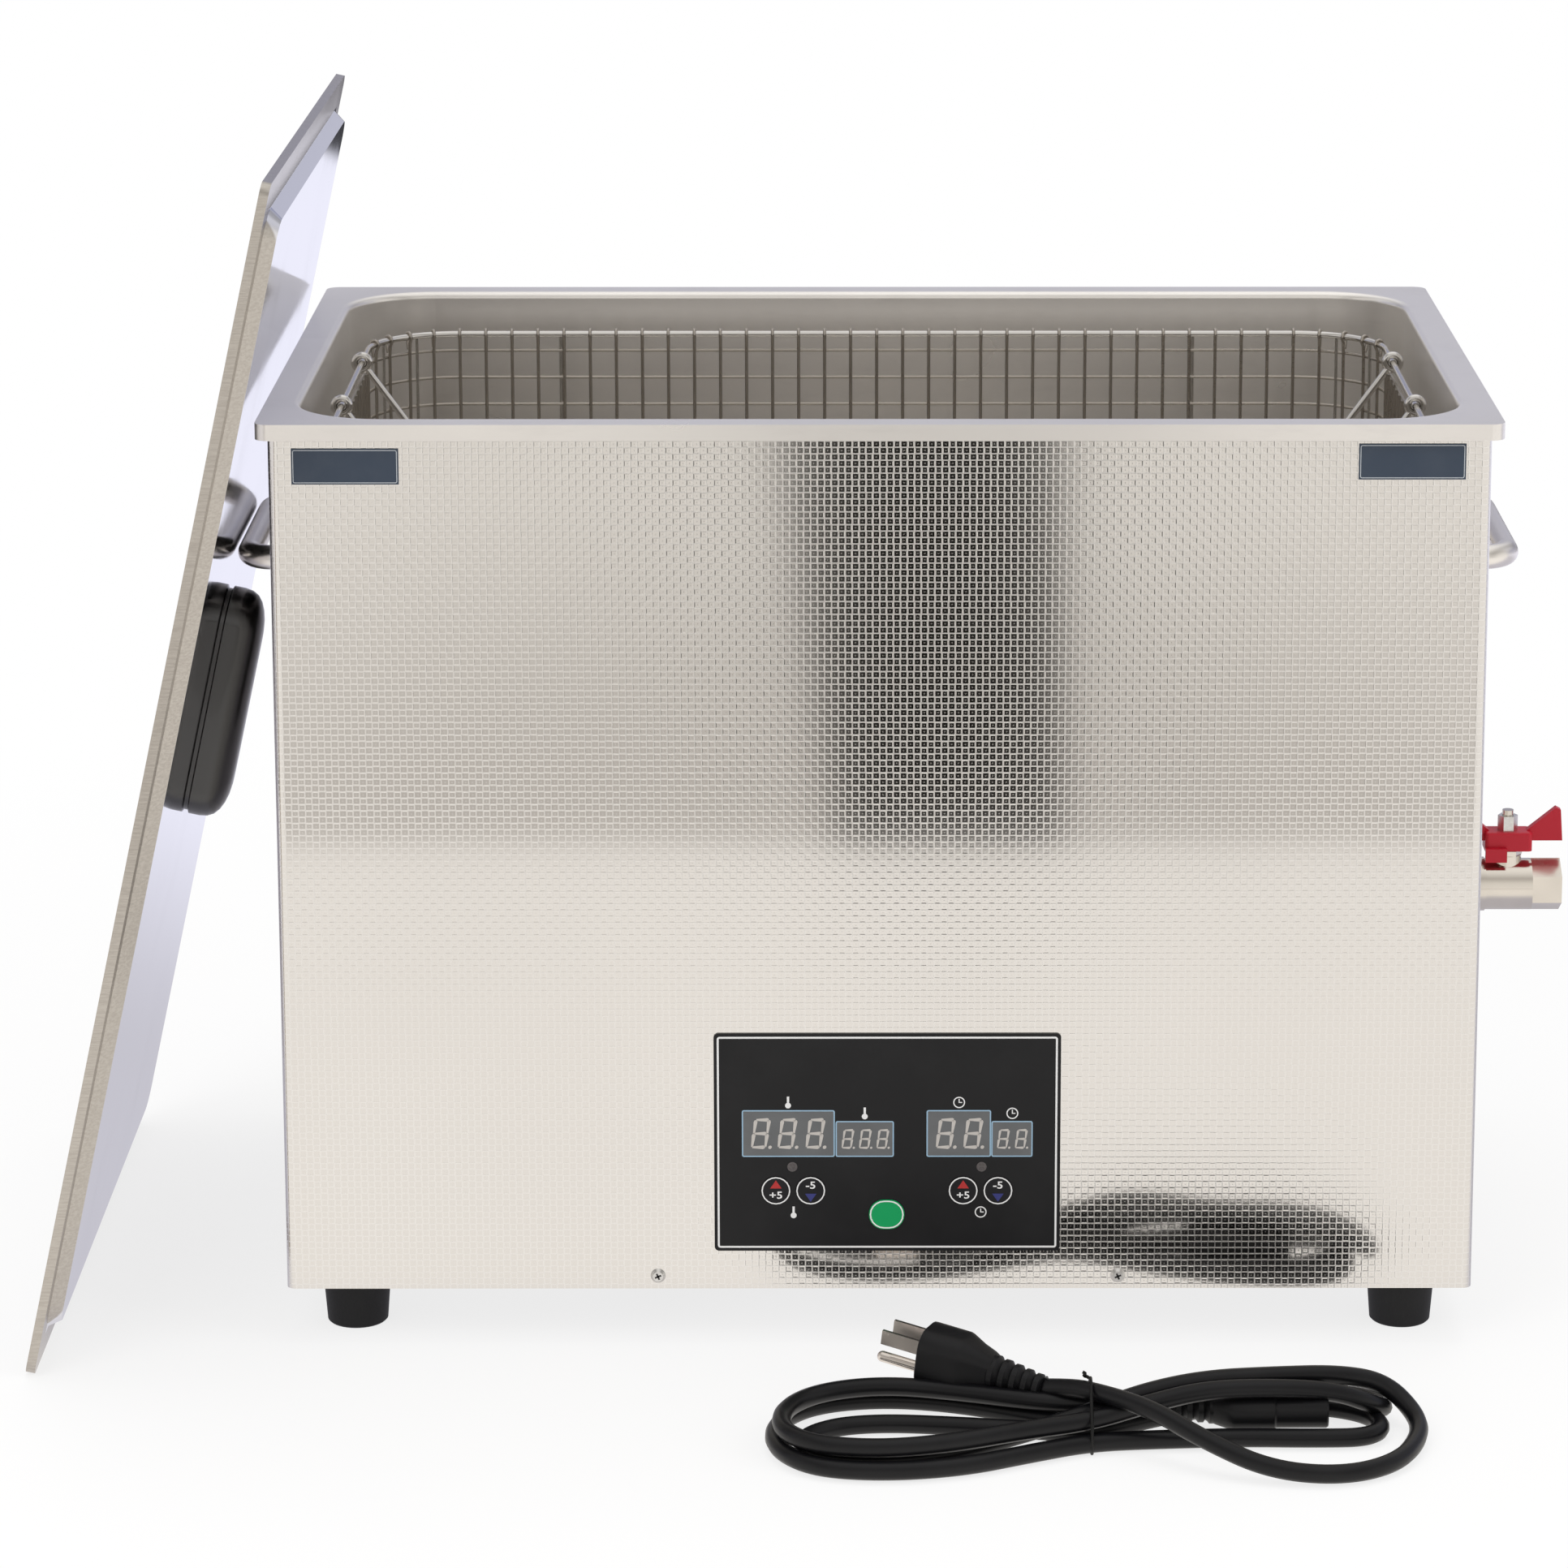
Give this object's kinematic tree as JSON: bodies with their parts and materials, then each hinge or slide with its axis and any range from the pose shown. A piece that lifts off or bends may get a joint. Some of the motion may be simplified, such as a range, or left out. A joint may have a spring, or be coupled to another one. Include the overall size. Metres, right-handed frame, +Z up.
{
  "type": "ultrasonic cleaner",
  "caption": "Bench-top ultrasonic cleaning bath: steel tank in a sheet casing, leaning lid, wire basket, drain valve, control panel and detached mains cord.",
  "frame": {"origin": "on the bench under the middle of the casing, midway between the four feet", "axes": "+X to the drain side, +Y to the back, +Z up; the control panel faces -Y"},
  "size_m": [0.6862, 0.487, 0.5227],
  "materials": {
    "patterned_steel": "stainless sheet with a fine raised linen pattern",
    "sheet_steel": "plain satin stainless sheet",
    "satin_steel": "brushed stainless",
    "polished_steel": "mirror-polished stainless",
    "polished_bar": "polished stainless",
    "polished_wire": "electropolished stainless wire",
    "mesh_wire": "stainless wire mesh",
    "plated_steel": "zinc-plated",
    "dull_steel": "dull grey",
    "nickel_brass": "nickel-plated",
    "pin_brass": "nickel-plated",
    "red_paint": "red, semi-gloss",
    "aluminium": "machined",
    "ceramic": "fired, matte",
    "black_rubber": "matte black",
    "cord_rubber": "satin black",
    "plug_plastic": "fine-grained black",
    "tie_plastic": "black",
    "black_plastic": "black",
    "rocker_plastic": "black",
    "black_bakelite": "semi-gloss black",
    "black_panel": "satin black with a fine white border",
    "display_lens": "smoky grey",
    "lamp_lens": "unlit",
    "key_black": "satin",
    "key_green": "satin",
    "board_green": "solder mask",
    "component_black": "moulded",
    "white_nylon": "moulded",
    "white_seal": "smooth",
    "heater_rubber": "silicone",
    "label_blue": "blue-grey, bare"
  },
  "bodies": {
    "cleaner": {"casing_wrap": "patterned_steel", "rear_panel": "sheet_steel", "base_plate": "sheet_steel", "tank": "satin_steel", "rubber_feet": "black_rubber", "casing_screws": "plated_steel", "side_handle_left": "polished_bar", "side_handle_right": "polished_bar", "side_handle_nuts": "plated_steel", "drain_socket": "satin_steel", "drain_elbow": "satin_steel", "drain_nut_and_washer": "plated_steel", "valve_body": "nickel_brass", "valve_end": "nickel_brass", "valve_seats": "white_seal", "valve_packing_nut": "nickel_brass", "panel_overlay": "black_panel", "display_windows": "display_lens", "indicator_lamps": "lamp_lens", "control_board": "board_green", "control_board_components": "component_black", "generator_board": "board_green", "generator_components": "component_black", "generator_heat_sink": "aluminium", "board_standoffs": "white_nylon", "fan_frame": "black_plastic", "fan_guard": "polished_wire", "power_inlet": "black_plastic", "inlet_pins": "nickel_brass", "transducer_front_masses": "aluminium", "transducer_piezo_rings": "ceramic", "transducer_back_masses": "dull_steel", "transducer_bolts": "plated_steel", "heater_pads": "heater_rubber", "label_plates": "label_blue", "cord_hank": "cord_rubber", "cord_tie": "tie_plastic", "appliance_connector": "plug_plastic", "mains_plug": "plug_plastic", "plug_pins": "pin_brass"},
    "lid": {"lid": "polished_steel", "lid_handle": "black_bakelite", "lid_handle_screws": "plated_steel"},
    "basket": {"basket_rim": "polished_wire", "basket_frame": "polished_wire", "basket_hoops": "polished_wire", "basket_mesh": "mesh_wire"},
    "left_basket_handle": {"basket_handle_left": "polished_wire"},
    "right_basket_handle": {"basket_handle_right": "polished_wire"},
    "valve_core": {"valve_ball": "polished_bar", "valve_stem": "nickel_brass", "valve_handle": "red_paint", "valve_handle_nut": "plated_steel"},
    "temperature_up_key": {"key_temperature_up": "key_black"},
    "temperature_down_key": {"key_temperature_down": "key_black"},
    "timer_up_key": {"key_timer_up": "key_black"},
    "timer_down_key": {"key_timer_down": "key_black"},
    "start_key": {"key_start": "key_green"},
    "power_switch": {"power_switch_rocker": "rocker_plastic"},
    "cooling_fan": {"fan_rotor": "black_plastic"}
  },
  "joints": [
    {"name": "lid_slide", "type": "slide", "parent": "cleaner", "child": "lid", "axis": [-1, 0, 0], "range_m": [0, 0.25]},
    {"name": "basket_lift", "type": "slide", "parent": "cleaner", "child": "basket", "axis": [0, 0, 1], "range_m": [0, 0.25]},
    {"name": "basket_handle_left_swing", "type": "hinge", "parent": "basket", "child": "left_basket_handle", "pos_m": [-0.2385, 0, 0.399], "axis": [0, -1, 0], "range_deg": [0, 140]},
    {"name": "basket_handle_right_swing", "type": "hinge", "parent": "basket", "child": "right_basket_handle", "pos_m": [0.2385, 0, 0.399], "axis": [0, 1, 0], "range_deg": [0, 140]},
    {"name": "valve_turn", "type": "hinge", "parent": "cleaner", "child": "valve_core", "pos_m": [0.291, 0, 0.163], "axis": [0, 0, 1], "range_deg": [0, 90]},
    {"name": "temperature_up_press", "type": "slide", "parent": "cleaner", "child": "temperature_up_key", "axis": [0, 1, 0], "range_m": [0, 0.0005], "stiffness_N_per_m": 1500},
    {"name": "temperature_down_press", "type": "slide", "parent": "cleaner", "child": "temperature_down_key", "axis": [0, 1, 0], "range_m": [0, 0.0005], "stiffness_N_per_m": 1500},
    {"name": "timer_up_press", "type": "slide", "parent": "cleaner", "child": "timer_up_key", "axis": [0, 1, 0], "range_m": [0, 0.0005], "stiffness_N_per_m": 1500},
    {"name": "timer_down_press", "type": "slide", "parent": "cleaner", "child": "timer_down_key", "axis": [0, 1, 0], "range_m": [0, 0.0005], "stiffness_N_per_m": 1500},
    {"name": "start_press", "type": "slide", "parent": "cleaner", "child": "start_key", "axis": [0, 1, 0], "range_m": [0, 0.0005], "stiffness_N_per_m": 1500},
    {"name": "power_switch_rock", "type": "hinge", "parent": "cleaner", "child": "power_switch", "pos_m": [-0.15, 0.157, 0.09], "axis": [-1, 0, 0], "range_deg": [0, 14]},
    {"name": "fan_spin", "type": "hinge", "parent": "cleaner", "child": "cooling_fan", "pos_m": [0.13, 0.1445, 0.105], "axis": [0, 1, 0], "continuous": true}
  ]
}
